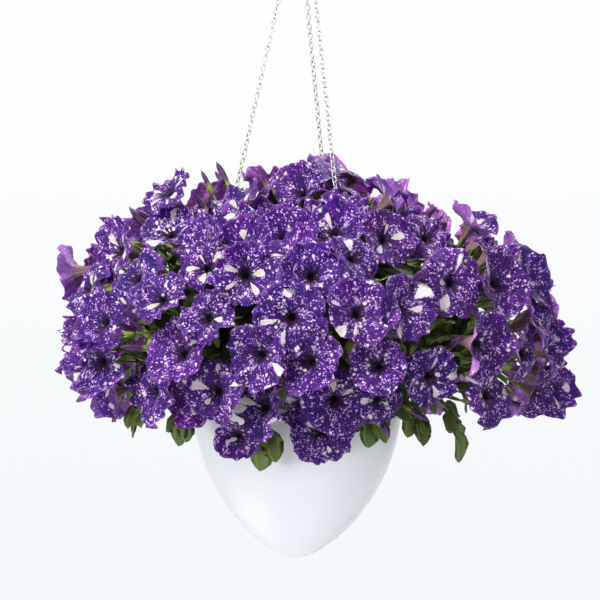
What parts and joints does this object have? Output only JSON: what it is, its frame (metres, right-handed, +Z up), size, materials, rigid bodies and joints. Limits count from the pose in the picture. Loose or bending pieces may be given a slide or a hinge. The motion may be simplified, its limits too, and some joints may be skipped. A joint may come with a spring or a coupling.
{
  "type": "petunia hanging basket",
  "caption": "Round mound of white-speckled violet petunias over leafy shoots, in a glossy white pointed pot hung on thin steel chains from an open wire hook.",
  "frame": {"origin": "where the hook's crook bears on what it hangs from, on the pot's axis", "axes": "+Z up along the pot's axis; -Y is the front of the basket, between the front chain and the left chain; +X to the right of it"},
  "size_m": [0.5929, 0.5305, 0.7738],
  "materials": {
    "white_plastic": "glossy, smooth, white with a faint cool tint",
    "potting_soil": "matt, crumbly peat",
    "steel_wire": "zinc-bright wire, softly reflective",
    "leaf_green": "soft, slightly downy, with a pale rib",
    "petal_violet": "velvety deep violet with white to lilac speckles and blotches and a near-black throat"
  },
  "bodies": {
    "root": {"pot": "white_plastic", "soil": "potting_soil", "hook": "steel_wire", "chain_front": "steel_wire", "chain_rear": "steel_wire", "chain_left": "steel_wire", "foliage": "leaf_green", "spray_01": "petal_violet", "spray_02": "petal_violet", "spray_03": "petal_violet", "spray_04": "petal_violet", "spray_05": "petal_violet", "spray_06": "petal_violet", "spray_07": "petal_violet", "spray_08": "petal_violet", "spray_09": "petal_violet", "spray_10": "petal_violet", "spray_11": "petal_violet", "spray_12": "petal_violet", "spray_13": "petal_violet", "spray_14": "petal_violet", "spray_15": "petal_violet", "spray_16": "petal_violet", "spray_17": "petal_violet", "spray_18": "petal_violet", "spray_19": "petal_violet", "spray_20": "petal_violet", "spray_21": "petal_violet", "spray_22": "petal_violet", "spray_23": "petal_violet", "spray_24": "petal_violet", "spray_25": "petal_violet", "spray_26": "petal_violet", "spray_27": "petal_violet", "spray_28": "petal_violet", "spray_29": "petal_violet", "spray_30": "petal_violet", "spray_31": "petal_violet", "spray_32": "petal_violet", "spray_33": "petal_violet", "spray_34": "petal_violet", "spray_35": "petal_violet", "spray_36": "petal_violet", "spray_37": "petal_violet", "spray_38": "petal_violet", "spray_39": "petal_violet", "spray_40": "petal_violet", "spray_41": "petal_violet", "spray_42": "petal_violet", "spray_43": "petal_violet", "spray_44": "petal_violet", "spray_45": "petal_violet", "spray_46": "petal_violet"}
  },
  "joints": []
}
